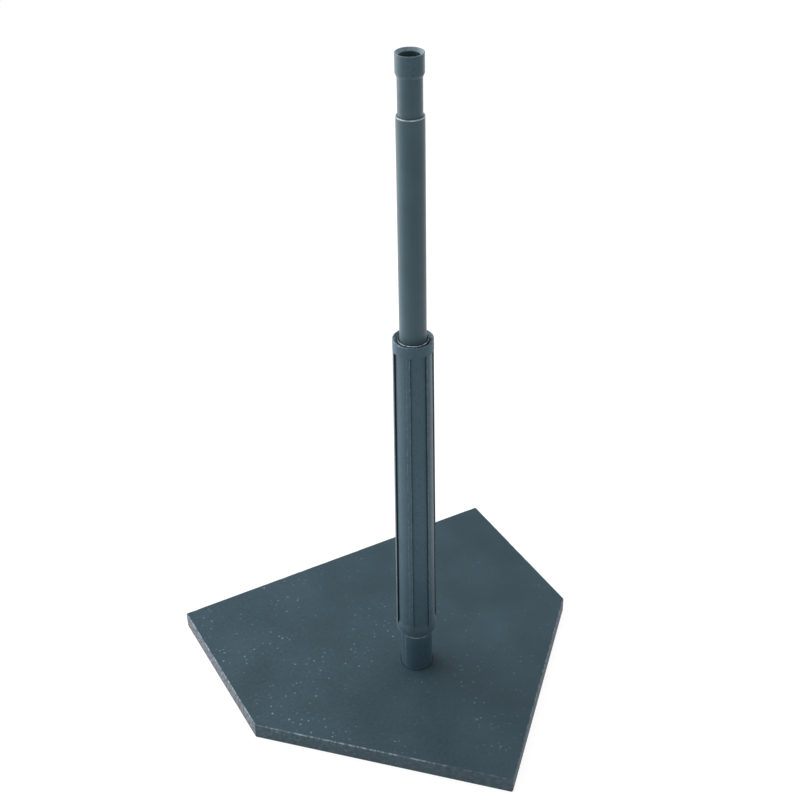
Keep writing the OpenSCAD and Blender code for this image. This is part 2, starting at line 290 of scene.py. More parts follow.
def rubberFinish(name, look):
    material, tree, shader, coords = newFinish(name, rubberMarks["ior"], look["specular"], look["bloom"])
    cloud, mottle, grain = (
        addNode(tree, noiseNode, {"Vector": coords, "Scale": 1 / look[size], "Detail": detail})
        for size, detail in (("cloud", 4.0), ("mottle", 3.0), ("grain", 2.0)))
    # scuffed in full on the left, and down to scuffLeast on the right
    place = addNode(tree, "ShaderNodeSeparateXYZ", {0: coords})
    scuff = addNode(tree, mapNode, {
        "Value": place["X"], "From Min": rubberMarks["scuffLeft"], "From Max": rubberMarks["scuffRight"],
        "To Min": 1.0, "To Max": look["scuffLeast"]})
    mottled = addNode(tree, mathNode, {0: scuff[0], 1: look["mottleShare"]}, operation="MULTIPLY")
    evened = addNode(tree, mixNode, {0: mottled[0], 2: 0.5, 3: mottle["Fac"]}, data_type="FLOAT")
    tone = addNode(tree, mathNode, {0: cloud["Fac"], 1: 0.5, 2: evened[0]}, operation="MULTIPLY_ADD")
    body = bodyColour(tree, look, tone[0], 0.45, 1.05)
    # pale grit: a soft dot in some of the cells, each with its own size and strength
    cells, chance, dotSize, chosen = gritCells(tree, look, coords, 0.4)
    dotCore = addNode(tree, mathNode, {0: dotSize[0], 1: 0.2}, operation="MULTIPLY")
    dot = addNode(tree, mapNode, {
        "Value": cells["Distance"], "From Min": dotSize[0], "From Max": dotCore[0]}, **softStep)
    glint = addNode(tree, mathNode, {0: chance["Green"], 1: 2.0}, operation="POWER")  # many faint, few bright
    strength = addNode(tree, mathNode, {0: chosen[0], 1: glint[0]}, operation="MULTIPLY")
    patchy = addNode(tree, mapNode, {
        "Value": cloud["Fac"], "From Min": 0.42, "From Max": 0.62, "To Min": 0.05, "To Max": look["gritMost"]})
    laid = addNode(tree, mathNode, {0: strength[0], 1: patchy[0]}, operation="MULTIPLY")
    scattered = addNode(tree, mathNode, {0: laid[0], 1: scuff[0]}, operation="MULTIPLY")
    # edges that stand proud are rubbed pale in broken lengths, a pale line that is also a painted highlight,
    # and chipped where a cell's grit shows
    edge, broken, paleRubAndHighlight = edgeRubbing(tree, look, coords, 5.0, 0.44, 0.62)
    chipped = addNode(tree, mathNode, {0: edge["Fac"], 1: look["wornEdge"]}, operation="MULTIPLY")
    speck = addNode(tree, mathNode, {0: scattered[0], 1: chipped[0]}, operation="MAXIMUM")
    dotShare = addNode(tree, mathNode, {0: dot[0], 1: speck[0]}, operation="MULTIPLY", use_clamp=True)
    pale = addNode(tree, mathNode, {0: dotShare[0], 1: paleRubAndHighlight[0]}, operation="MAXIMUM")
    # dust and a painted sheen on the plate's sides that face the lamps, greyer than the pale edges, and painted
    # shade in the sleeve's grooves and round the socket's foot
    dustAndSheen = addNode(tree, "ShaderNodeAttribute", attribute_name="dustAndSheen")
    dustAndSheenShare = addNode(tree, mathNode, {0: dustAndSheen["Fac"], 1: broken[0]}, operation="MULTIPLY", use_clamp=True)
    # painted shade in the sleeve's grooves and round the socket's foot
    paintedShade = addNode(tree, "ShaderNodeAttribute", attribute_name="paintedShade")
    layColours(tree, shader, body[2], [
        (pale[0], rubberMarks["paleRubAndHighlight"]), (dustAndSheenShare[0], rubberMarks["dustAndSheen"]),
        (paintedShade["Fac"], rubberMarks["shadeDark"])])
    spread = rubberMarks["roughSpread"]
    dull = addNode(tree, mapNode, {
        "Value": mottle["Fac"], "From Min": 0.3, "From Max": 0.7,
        "To Min": look["roughness"] - spread, "To Max": look["roughness"] + spread})
    tree.links.new(dull[0], shader.inputs["Roughness"])
    relief = addNode(tree, mathNode, {0: grain["Fac"], 1: dot[0]}, operation="ADD")
    bump = addNode(tree, "ShaderNodeBump", {
        "Height": relief[0], "Strength": rubberMarks["reliefShare"], "Distance": rubberMarks["reliefHigh"]})
    tree.links.new(bump[0], shader.inputs["Normal"])
    return material


# Drawn flexible vinyl: satin, with faint lengthwise lines from the die, a rim rubbed pale that is partly a
# painted highlight, and painted shade in the bores and gaps
drawnVinyl = {
    "tube": {
        "base": "354c54", "pale": "495f68", "roughness": 0.46, "bloom": 0.25,
        "cloud": 60 * mm, "lineWide": 1.5 * mm, "lineLong": 140 * mm,
        "grit": 9 * mm, "gritShare": 0.4, "gritRadius": 0.07,
        "wear": 7 * mm, "wornEdge": 1.0, "wornLeast": 0.45, "paleRubAndHighlight": "bdd0da"},
    "plug": {  # moulded nylon: darker and plain
        "base": "232c32", "pale": "353f46", "roughness": 0.5, "bloom": 0.0,
        "cloud": 25 * mm, "lineWide": 1.2 * mm, "lineLong": 40 * mm,
        "grit": 8 * mm, "gritShare": 0.1, "gritRadius": 0.06,
        "wear": 5 * mm, "wornEdge": 0.0, "wornLeast": 0.0, "paleRubAndHighlight": "bdd0da"},
}
drawnVinyl["liner"] = {
    **drawnVinyl["tube"], "bloom": 0.0, "gritShare": 0.3, "wear": 4 * mm, "wornLeast": 0.15, "paleRubAndHighlight": "d8ebf5"}
vinylMarks = {
    "grit": "9cb0b8", "shadeDark": "0b1012",
    "ior": 1.53, "specular": 0.20, "roughSpread": 0.05, "reliefHigh": 0.06 * mm, "reliefShare": 0.12,
}


def vinylFinish(name, look):
    material, tree, shader, coords = newFinish(name, vinylMarks["ior"], vinylMarks["specular"], look["bloom"])
    cloud = addNode(tree, noiseNode, {"Vector": coords, "Scale": 1 / look["cloud"], "Detail": 3.0})
    drawn = addNode(tree, "ShaderNodeMapping", {
        "Vector": coords, "Scale": (1.0, 1.0, look["lineWide"] / look["lineLong"])})
    lines = addNode(tree, noiseNode, {"Vector": drawn[0], "Scale": 1 / look["lineWide"], "Detail": 2.0})
    tone = addNode(tree, mathNode, {0: lines["Fac"], 1: 0.4, 2: cloud["Fac"]}, operation="MULTIPLY_ADD")
    body = bodyColour(tree, look, tone[0], 0.35, 1.05)
    cells, chance, dotSize, chosen = gritCells(tree, look, coords, 0.45)
    dot = addNode(tree, mathNode, {0: cells["Distance"], 1: dotSize[0]}, operation="LESS_THAN")
    glint = addNode(tree, mapNode, {"Value": chance["Green"], "To Min": 0.1, "To Max": 0.6})
    strength = addNode(tree, mathNode, {0: chosen[0], 1: glint[0]}, operation="MULTIPLY")
    dotShare = addNode(tree, mathNode, {0: dot[0], 1: strength[0]}, operation="MULTIPLY")
    edge, broken, paleRubAndHighlight = edgeRubbing(tree, look, coords, 4.0, 0.4, 0.6)
    # painted shade where the edge mark is below zero: the bores and the gaps between pieces
    shadeDark = addNode(tree, mathNode, {0: edge["Fac"], 1: -1.0}, operation="MULTIPLY", use_clamp=True)
    layColours(tree, shader, body[2], [
        (dotShare[0], vinylMarks["grit"]), (paleRubAndHighlight[0], look["paleRubAndHighlight"]), (shadeDark[0], vinylMarks["shadeDark"])])
    spread = vinylMarks["roughSpread"]
    satin = addNode(tree, mapNode, {
        "Value": lines["Fac"], "From Min": 0.3, "From Max": 0.7,
        "To Min": look["roughness"] - spread, "To Max": look["roughness"] + spread})
    tree.links.new(satin[0], shader.inputs["Roughness"])
    bump = addNode(tree, "ShaderNodeBump", {
        "Height": lines["Fac"], "Strength": vinylMarks["reliefShare"], "Distance": vinylMarks["reliefHigh"]})
    tree.links.new(bump[0], shader.inputs["Normal"])
    return material


# Bright zinc plate on steel: cool grey, slightly blotched
platedZinc = {
    "base": "a7adb1", "pale": "c3c8ca", "blotch": 1.5 * mm, "smoothest": 0.28, "roughest": 0.44,
    "ior": 1.5, "specular": 0.5,
}


def zincFinish(name, look):
    material, tree, shader, coords = newFinish(name, look["ior"], look["specular"])
    blotch = addNode(tree, noiseNode, {"Vector": coords, "Scale": 1 / look["blotch"], "Detail": 3.0})
    body = bodyColour(tree, look, blotch["Fac"], 0.0, 1.0)
    tree.links.new(body[2], shader.inputs["Base Color"])
    gloss = addNode(tree, mapNode, {
        "Value": blotch["Fac"], "To Min": look["smoothest"], "To Max": look["roughest"]})
    tree.links.new(gloss[0], shader.inputs["Roughness"])
    shader.inputs["Metallic"].default_value = 1.0
    return material


plateRubber, sleeveRubber, socketRubber, cupRubber = (
    rubberFinish(f"moulded{piece.title()}Rubber", mouldedRubber[piece])
    for piece in ("plate", "sleeve", "socket", "cup"))
ringRubber = rubberFinish("nitrileRubber", mouldedRubber["ring"])
tubeVinyl = vinylFinish("drawnVinylTube", drawnVinyl["tube"])
linerVinyl = vinylFinish("drawnVinylLiner", drawnVinyl["liner"])
plugNylon = vinylFinish("mouldedNylonPlug", drawnVinyl["plug"])
screwZinc = zincFinish("zincPlatedSteel", platedZinc)
print("materials ready")


# Base plate: five-sided moulded slab with softened edges, a hole for the socket and a recess below it

basePlate = {
    "cornerRound": 2.2 * mm, "edgeRound": 1.5 * mm, "footRound": 0.8 * mm, "pointSpacing": 4.0 * mm,
    "edgeHold": 0.6 * mm, "footHold": 0.5 * mm,  # rings that hold the shading of the rounded edges
    "cornerSteps": 6, "edgeSteps": 6, "footSteps": 4, "undersideRings": 5, "topRings": 24,
    "holeRadius": 18.25 * mm, "recessRadius": 46.3 * mm, "recessDepth": 6.0 * mm,
    "unevenness": 0.16 * mm, "unevenSize": 85 * mm,
    "unevenFade": 0.125,  # share of the way from edge to hole over which it grows and dies away
    "nickDepth": 0.9 * mm, "nickSize": 11 * mm,
    "nickLevel": 0.22,  # the noise above this level makes a nick
    "nickDrop": 0.4,  # drop of the edge for each millimetre that it goes in
    # pale top edge: wear and a painted highlight, strongest on the sides that face the lamps and fading towards
    # the point
    "edgeRub": [0.2, 1.0, 1.0, 0.75, 0.25],  # back, left, front left, front right, right
    "sideRub": [0.0, 0.0, 0.08, 0.0, 0.0],
    # side faces paled by dust and by painted light where the lamps light them, most on the left
    "sideDustAndSheen": [0.0, 0.45, 0.04, 0.2, 0.05],
    "pointRubAndHighlight": 0.3,  # share of the edge's pale line, wear and painted highlight, that is left near the point
    "pointFade": (40 * mm, 100 * mm),
    "holeShadeWide": 3.0 * mm,  # painted shade on the plate, round the socket's foot
    "holeShade": 0.55,
}


def plateOutline(low, high, sizes):  # points, outward normals and side numbers, all the way round
    corners = [Vector(c) for c in (
        (high.x, high.y), (low.x, high.y), (low.x, 0), (0, low.y), (high.x, 0))]
    count, steps = len(corners), sizes["cornerSteps"]
    arcs, outline = [], []
    for i, here in enumerate(corners):
        arcs.append(cornerArc(corners[i - 1], here, corners[(i + 1) % count], sizes["cornerRound"], steps))
    for i, (centre, spokes) in enumerate(arcs):
        for k, spoke in enumerate(spokes):
            side = (i - 1) % count if 2 * k < steps else i
            outline.append((centre + spoke, spoke.normalized(), side))
        nextCentre, nextSpokes = arcs[(i + 1) % count]
        straightFrom, straightTo = centre + spokes[-1], nextCentre + nextSpokes[0]
        normal = spokes[-1].normalized()
        parts = max(2, round((straightTo - straightFrom).length / sizes["pointSpacing"]))
        for k in range(1, parts):
            outline.append((straightFrom.lerp(straightTo, k / parts), normal, i))
    return outline


def makeBasePlate(sizes):
    low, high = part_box("base_plate")
    top = high.z
    outline = plateOutline(low, high, sizes)
    tip = Vector((0, low.y))
    fadeFrom, fadeTo = sizes["pointFade"]
    edgeRub = []
    for p, n, side in outline:
        far = ((p - tip).length - fadeFrom) / (fadeTo - fadeFrom)
        edgeRub.append(sizes["edgeRub"][side] * min(1.0, max(sizes["pointRubAndHighlight"], far)))
    sideRub = [sizes["sideRub"][side] for p, n, side in outline]
    sideDustAndSheen = [sizes["sideDustAndSheen"][side] for p, n, side in outline]
    plain = [0.0] * len(outline)

    def nick(point):  # chipped and rubbed edge, never proud of the mould line
        rough = noise.noise(Vector((point.x, point.y, 0.3)) / sizes["nickSize"])
        return sizes["nickDepth"] * max(0.0, rough - sizes["nickLevel"])

    def around(radius, z):
        return [(radius * p.normalized().x, radius * p.normalized().y, z) for p, n, side in outline]

    def inset(depth, z, chip=0.0):
        placed = []
        for p, n, side in outline:
            q = p - n * (depth + chip * nick(p))
            placed.append((q.x, q.y, z - sizes["nickDrop"] * chip * nick(p)))
        return placed

    hole, recess, ceiling = sizes["holeRadius"], sizes["recessRadius"], sizes["recessDepth"]
    # (points, wear) from the recess, out along the underside, over the top and down the hole
    rings = [(around(r, z), plain) for r, z in ((hole, ceiling), (recess, ceiling), (recess, 0))]
    foot, edge, hold = sizes["footRound"], sizes["edgeRound"], sizes["edgeHold"]
    for k in range(1, sizes["undersideRings"] + 1):  # underside, out to the rounded foot
        inner, outer = around(recess, 0), inset(foot + sizes["footHold"], 0)
        share = k / sizes["undersideRings"]
        spread = [tuple(a + (b - a) * share for a, b in zip(p, q)) for p, q in zip(inner, outer)]
        rings.append((spread, plain))
    for k in range(sizes["footSteps"] + 1):
        a = math.radians(90 * k / sizes["footSteps"])
        rings.append((inset(foot * (1 - math.sin(a)), foot * (1 - math.cos(a))), plain))
    sideFrom = len(rings) * len(outline)  # the first of the sides' two rings of points
    rings.append((inset(0, foot + hold), sideRub))
    rings.append((inset(0, top - edge - hold), sideRub))
    for k in range(sizes["edgeSteps"] + 1):  # rounded top edge, most rubbed and nicked half way round; its pale line is wear and a painted highlight
        a = math.radians(90 * k / sizes["edgeSteps"])
        wear = plain
        if 0 < k < sizes["edgeSteps"]:
            wear = [math.sin(2 * a) ** 0.5 * rub for rub in edgeRub]
        placed = inset(edge * (1 - math.cos(a)), top - edge * (1 - math.sin(a)), math.sin(a * 2))
        rings.append((placed, wear))
    outer, inner = inset(edge + hold, top), around(hole + sizes["holeShadeWide"], top)
    for k in range(sizes["topRings"]):
        share = k / (sizes["topRings"] - 1)
        flat = []
        for p, q in zip(outer, inner):
            x, y = (a + (b - a) * share for a, b in zip(p[:2], q[:2]))
            swell = noise.noise(Vector((x, y, 0.7)) / sizes["unevenSize"])
            fade = min(1.0, share / sizes["unevenFade"], (1 - share) / sizes["unevenFade"])
            flat.append((x, y, top - sizes["unevenness"] * fade * (0.5 + 0.5 * swell)))
        rings.append((flat, plain))
    rings.append((around(hole, top), plain))
    vertices, wear, faces = [], [], []
    for placed, worn in rings:
        vertices.extend(placed)
        wear.extend(worn)
    count = len(outline)
    for i in range(len(rings)):
        k = (i + 1) % len(rings)
        for j in range(count):
            m = (j + 1) % count
            faces.append((i * count + j, i * count + m, k * count + m, k * count + j))
    plate = meshObject("basePlate", vertices, faces, wear)
    # painted shade on the last ring, where the socket meets the plate
    shadeDark = [0.0] * (len(vertices) - count) + [sizes["holeShade"]] * count
    storeValues(plate.data, "paintedShade", shadeDark)
    dustAndSheen = [0.0] * sideFrom + 2 * sideDustAndSheen + [0.0] * (len(vertices) - sideFrom - 2 * count)
    storeValues(plate.data, "dustAndSheen", dustAndSheen)
    return plate


dress(makeBasePlate(basePlate), plateRubber, "base", "base_plate")


# Base socket: plain round stub with a flange below the plate

baseSocket = {
    "radius": 18.2, "boreRadius": 14.9, "flangeThick": 5.0, "floor": 2.0, "rimRound": 0.9,
    "seamTurn": 194.0, "seamHigh": 0.15, "seamWide": 0.6, "seamWear": 0.75, "seamSteps": 4, "evenSteps": 120,
    "footWear": 0.5, "footBand": (-0.5, 0.2, 1.2),  # heights about the plate's top, worn at the middle one
}


def seamAngles(sizes):  # even steps, with fine ones across the two mould seams
    stops = [360 * k / sizes["evenSteps"] for k in range(sizes["evenSteps"])]
    steps = sizes["seamSteps"]
    halfSeam = math.degrees(sizes["seamWide"] / sizes["radius"])
    for seam in (sizes["seamTurn"], sizes["seamTurn"] - 180):
        stops = [a for a in stops if abs(a - seam) > halfSeam]
        stops += [seam + halfSeam * k / steps for k in range(-steps, steps + 1)]
    return [math.radians(a) for a in sorted(stops)]


def makeBaseSocket(sizes):
    low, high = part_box("base_socket")
    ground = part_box("base_plate")[1].z
    flange = nodeRadius("base_socket")
    radius, bore = sizes["radius"] * mm, sizes["boreRadius"] * mm
    flangeTop = low.z + sizes["flangeThick"] * mm
    floor = flangeTop + sizes["floor"] * mm
    rim = sizes["rimRound"] * mm
    bandLow, bandWorn, bandHigh = (ground + h * mm for h in sizes["footBand"])
    socket = latheObject("baseSocket", roundedProfile([
        (0, low.z, 0, 0),
        (flange, low.z, 0.6 * mm, 0),
        (flange, flangeTop, 0.4 * mm, 0),
        (radius, flangeTop, 0, 0),
        (radius, bandLow, 0, 0),
        (radius, bandWorn, 0, sizes["footWear"]),
        (radius, bandHigh, 0, 0),
        (radius, high.z, rim, 1.0),
        (bore, high.z, rim * 0.6, 0.3),
        (bore, floor, 0.5 * mm, 0),
        (0, floor, 0, 0),
    ]), angles=seamAngles(sizes))
    worn = socket.data.attributes["wearAndPaintedLight"].data
    for v in socket.data.vertices:  # fine raised seams where the mould's halves met
        out = Vector(v.co[:2])
        if ground < v.co.z < high.z - rim and out.length > 0.99 * radius:
            turn = math.degrees(math.atan2(out.y, out.x)) - sizes["seamTurn"]
            away = abs((turn + 90) % 180 - 90)
            share = max(0.0, 1 - math.radians(away) * radius / (sizes["seamWide"] * mm))
            v.co.xy += out.normalized() * sizes["seamHigh"] * mm * share
            worn[v.index].value = max(worn[v.index].value, sizes["seamWear"] * share)
    return socket


dress(makeBaseSocket(baseSocket), socketRubber, "base", "base_socket")


# Flange screws: one pan-head screw, repeated round the flange

flangeScrews = {
    "count": 4, "circleRadius": 33.0 * mm,
    "headRadius": 4.0 * mm, "headHigh": 2.4 * mm, "shankRadius": 2.0 * mm, "tipLong": 2.0 * mm,
    "slotWide": 0.9 * mm, "slotLong": 4.4 * mm, "slotDeep": 1.3 * mm, "slotTurn": 5,
    "threadPitch": 1.4 * mm, "threadDeep": 0.35 * mm, "crestHalf": 0.4 * mm,
}


def screwRingTree():
    inputs = {"screw": "Geometry", "count": "Int", "circleRadius": "Float", "finish": "Material"}
    tree, given = newTree("screwRing", inputs, "screws")
    ring = addNode(tree, "GeometryNodeMeshCircle", {
        "Vertices": given["count"], "Radius": given["circleRadius"]})
    step = addNode(tree, mathNode, {0: 2 * math.pi, 1: given["count"]}, operation="DIVIDE")
    index = addNode(tree, "GeometryNodeInputIndex")
    turn = addNode(tree, mathNode, {0: index[0], 1: step[0]}, operation="MULTIPLY")
    spin = addNode(tree, "ShaderNodeCombineXYZ", {"Z": turn[0]})
    placed = addNode(tree, "GeometryNodeInstanceOnPoints", {
        "Points": ring[0], "Instance": given["screw"], "Rotation": spin[0]})
    endTree(tree, placed[0], given["finish"])
    return tree


def makeFlangeScrews(sizes):
    low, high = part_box("socket_screws")
    head, shank = sizes["headRadius"], sizes["shankRadius"]
    core = shank - sizes["threadDeep"]
    neck = low.z + sizes["headHigh"]
    profile = [(0, low.z, 0, 0), (head, low.z, 0.9 * mm, 0), (head, neck, 0.2 * mm, 0), (core, neck, 0, 0)]
    turns = int((high.z - neck - sizes["tipLong"]) / sizes["threadPitch"])
    half = sizes["crestHalf"]
    for k in range(turns):  # thread crests, drawn as rings at the real pitch
        crest = neck + (k + 0.75) * sizes["threadPitch"]
        profile += [(core, crest - half, 0, 0), (shank, crest, 0, 0), (core, crest + half, 0, 0)]
    profile.append((0, high.z, 0, 0))
    screw = latheObject("flangeScrews", roundedProfile(profile), segments=32)
    cutter = bpy.data.meshes.new("driveSlot")
    shape = bmesh.new()
    for turn in (sizes["slotTurn"], sizes["slotTurn"] + 90):  # cross recess in the head
        size = Matrix.Diagonal((sizes["slotLong"], sizes["slotWide"], 2 * sizes["slotDeep"], 1))
        place = Matrix.Translation((0, 0, low.z)) @ Matrix.Rotation(math.radians(turn), 4, "Z") @ size
        bmesh.ops.create_cube(shape, size=1, matrix=place)
    shape.to_mesh(cutter)
    shape.free()
    cutterObject = placeObject("driveSlot", cutter)
    cut = screw.modifiers.new("driveSlot", "BOOLEAN")
    cut.operation, cut.solver, cut.use_self, cut.object = "DIFFERENCE", "EXACT", True, cutterObject
    bakeModifiers(screw)
    bpy.data.objects.remove(cutterObject)
    nodeModifier(screw, screwRingTree(), {
        "count": sizes["count"], "circleRadius": sizes["circleRadius"], "finish": screwZinc})
    return bakeModifiers(screw)


dress(makeFlangeScrews(flangeScrews), screwZinc, "base", "socket_screws")


# Ribbed sleeve: tapered shell whose panels are sunk between the ribs by a rule

ribbedSleeve = {
    "lipRadius": 18.2, "lipHigh": 2.0, "shoulderHigh": 8.0, "topRadius": 21.7, "rimWide": 1.4,
    "mouthDeep": 3.5, "boreGap": 0.05, "collarHigh": 13.0, "footBand": 3.0,
    "ribCount": 6, "ribAngle": 11.0, "ribTurn": 46.0, "panelDepth": 2.2, "edgeSoft": 0.15, "footFade": 9.0,
    "grooveDepth": 0.4, "grooveWide": 0.4, "grooveShade": 0.5, "ribWearAndHighlight": 0.6, "runOutShade": 0.27,
    "footShade": 0.2, "footShadeHigh": 140.0, "shadedTurn": 160.0, "shadeLeast": 0.4,
    "coarseStep": 2.0, "fineStep": 0.15, "fineInside": 2.1, "fineRun": 4.8,  # degrees
    "coarseInside": 2.4, "coarseOutside": 3.0,  # degrees from a rib's edge at which the coarse steps end
    "shoulderSteps": 12, "wallSteps": 24,
}


def panelTree(floats):  # an input for each of the named numbers, and for the side with the most painted shade and the finish
    inputs = {"shell": "Geometry", **{name: "Float" for name in floats}}
    inputs |= {"shadedSide": "Vector", "finish": "Material"}
    tree, given = newTree("sunkPanels", inputs, "sleeve")
    place = addNode(tree, "GeometryNodeInputPosition")
    xyz = addNode(tree, "ShaderNodeSeparateXYZ", {0: place[0]})
    flat = addNode(tree, "ShaderNodeCombineXYZ", {"X": xyz["X"], "Y": xyz["Y"]})
    radius = addNode(tree, "ShaderNodeVectorMath", {0: flat[0]}, operation="LENGTH")
    outward = addNode(tree, "ShaderNodeVectorMath", {0: flat[0]}, operation="NORMALIZE")
    # how far round a point lies from the nearest rib's edge, in metres
    angle = addNode(tree, mathNode, {0: xyz["Y"], 1: xyz["X"]}, operation="ARCTAN2")
    turned = addNode(tree, mathNode, {0: angle[0], 1: given["ribTurn"]}, operation="SUBTRACT")
    halfStep = addNode(tree, mathNode, {0: math.pi, 1: given["ribCount"]}, operation="DIVIDE")
    lowStep = addNode(tree, mathNode, {0: halfStep[0], 1: -1.0}, operation="MULTIPLY")
    wrapped = addNode(tree, mathNode, {0: turned[0], 1: halfStep[0], 2: lowStep[0]}, operation="WRAP")
    fromRib = addNode(tree, mathNode, {0: wrapped[0]}, operation="ABSOLUTE")
    halfRib = addNode(tree, mathNode, {0: given["ribAngle"], 1: 0.5}, operation="MULTIPLY")
    fromEdge = addNode(tree, mathNode, {0: fromRib[0], 1: halfRib[0]}, operation="SUBTRACT")
    along = addNode(tree, mathNode, {0: fromEdge[0], 1: radius["Value"]}, operation="MULTIPLY")
    side = addNode(tree, mapNode, {"Value": along[0], "From Max": given["edgeSoft"]}, **softStep)
    # the panels run out softly at the foot and end in a step under the collar
    lowEnd = addNode(tree, mathNode, {0: given["panelLow"], 1: given["footFade"]}, operation="ADD")
    rise = addNode(tree, mapNode, {
        "Value": xyz["Z"], "From Min": given["panelLow"], "From Max": lowEnd[0]}, **softStep)
    highEnd = addNode(tree, mathNode, {0: given["panelHigh"], 1: given["edgeSoft"]}, operation="SUBTRACT")
    fall = addNode(tree, mapNode, {
        "Value": xyz["Z"], "From Min": given["panelHigh"], "From Max": highEnd[0]}, **softStep)
    ends = addNode(tree, mathNode, {0: rise[0], 1: fall[0]}, operation="MULTIPLY")
    skin = addNode(tree, "GeometryNodeInputNamedAttribute", {"Name": "outerSkin"}, data_type="FLOAT")
    reach = addNode(tree, mathNode, {0: ends[0], 1: skin[0]}, operation="MULTIPLY")
    # narrow groove along the foot of each rib; the groove and the rib's wall are painted dark as shade
    grooveFrom = addNode(tree, mathNode, {
        0: given["grooveWide"], 1: 0.4, 2: given["edgeSoft"]}, operation="MULTIPLY_ADD")
    grooveTo = addNode(tree, mathNode, {0: given["edgeSoft"], 1: given["grooveWide"]}, operation="ADD")
    panel = addNode(tree, mapNode, {
        "Value": along[0], "From Min": grooveFrom[0], "From Max": grooveTo[0]}, **softStep)
    groove = addNode(tree, mathNode, {0: side[0], 1: panel[0]}, operation="SUBTRACT")
    panelSink = addNode(tree, mathNode, {0: side[0], 1: given["panelDepth"]}, operation="MULTIPLY")
    sunk = addNode(tree, mathNode, {
        0: groove[0], 1: given["grooveDepth"], 2: panelSink[0]}, operation="MULTIPLY_ADD")
    depth = addNode(tree, mathNode, {0: sunk[0], 1: reach[0]}, operation="MULTIPLY")
    inward = addNode(tree, mathNode, {0: depth[0], 1: -1.0}, operation="MULTIPLY")
    shift = addNode(tree, "ShaderNodeVectorMath", {0: outward[0], "Scale": inward[0]}, operation="SCALE")
    wall = addNode(tree, mapNode, {"Value": along[0], "From Max": 0.05 * mm})
    wallFoot = addNode(tree, mapNode, {
        "Value": along[0], "From Min": given["edgeSoft"], "From Max": grooveFrom[0]}, **softStep)
    wallOnly = addNode(tree, mathNode, {0: wall[0], 1: wallFoot[0]}, operation="SUBTRACT")
    shaded = addNode(tree, mathNode, {
        0: groove[0], 1: given["grooveShade"], 2: wallOnly[0]}, operation="MULTIPLY_ADD")
    # painted shade is blackest on one side of the sleeve, where the ribs' walls lie in shadow
    facing = addNode(tree, "ShaderNodeVectorMath", {
        0: outward[0], 1: given["shadedSide"]}, operation="DOT_PRODUCT")
    sideShare = addNode(tree, mapNode, {
        "Value": facing["Value"], "From Min": 0.35, "From Max": 0.9,
        "To Min": given["shadeLeast"], "To Max": 1.0})
    reached = addNode(tree, mathNode, {0: sideShare[0], 1: reach[0]}, operation="MULTIPLY")
    shade = addNode(tree, mathNode, {0: shaded[0], 1: reached[0]}, operation="MULTIPLY")
    footShadeShare = addNode(tree, mapNode, {  # painted shade, darkest at the foot and thinning out up the sleeve
        "Value": xyz["Z"], "From Min": given["shadeLow"], "From Max": given["shadeHigh"],
        "To Min": given["footShade"], "To Max": 0.0})
    slope = addNode(tree, mapNode, {  # and painted shade on the panels' sloping ends
        "Value": rise[0], "From Min": 1.0, "From Max": 0.3, "To Max": given["runOutShade"]})
    ledge = addNode(tree, mathNode, {0: slope[0], 1: side[0]}, operation="MULTIPLY")
    lowShade = addNode(tree, mathNode, {0: ledge[0], 1: footShadeShare[0]}, operation="MAXIMUM")
    darker = addNode(tree, mathNode, {0: shade[0], 1: lowShade[0]}, operation="MAXIMUM")
    # the ribs' corners are rubbed pale over about half a millimetre, which is also a painted highlight along
    # their edges
    corner = addNode(tree, mapNode, {"Value": along[0], "From Min": -0.7 * mm, "From Max": -0.2 * mm})
    proud = addNode(tree, mathNode, {0: corner[0], 1: wall[0]}, operation="SUBTRACT")
    proudHere = addNode(tree, mathNode, {0: proud[0], 1: reach[0]}, operation="MULTIPLY")
    before = addNode(tree, "GeometryNodeInputNamedAttribute", {"Name": "wearAndPaintedLight"}, data_type="FLOAT")
    paleRubAndHighlight = addNode(tree, mathNode, {
        0: proudHere[0], 1: given["ribWearAndHighlight"], 2: before[0]}, operation="MULTIPLY_ADD")
    shell = given["shell"]
    for name, value in (("paintedShade", darker[0]), ("wearAndPaintedLight", paleRubAndHighlight[0])):
        shell = addNode(tree, "GeometryNodeStoreNamedAttribute", {
            "Geometry": shell, "Name": name, "Value": value}, data_type="FLOAT", domain="POINT")[0]
    moved = addNode(tree, "GeometryNodeSetPosition", {"Geometry": shell, "Offset": shift[0]})
    endTree(tree, moved[0], given["finish"])
    return tree


def ribAngles(sizes):  # fine steps across the ribs' edges, coarse ones between
    stops = set()
    pitch = 360 / sizes["ribCount"]
    half = sizes["ribAngle"] / 2
    fineCount = int(sizes["fineRun"] / sizes["fineStep"]) + 1
    fine = [k * sizes["fineStep"] - sizes["fineInside"] for k in range(fineCount)]
    coarse = round(pitch / sizes["coarseStep"])
    for rib in range(sizes["ribCount"]):
        middle = sizes["ribTurn"] + rib * pitch
        for k in range(coarse):
            away = -pitch / 2 + pitch * k / coarse
            if not half - sizes["coarseInside"] < abs(away) < half + sizes["coarseOutside"]:
                stops.add(round((middle + away) % 360, 4))
        for step in fine:
            stops.add(round((middle + half + step) % 360, 4))
            stops.add(round((middle - half - step) % 360, 4))
    return [math.radians(a) for a in sorted(stops)]


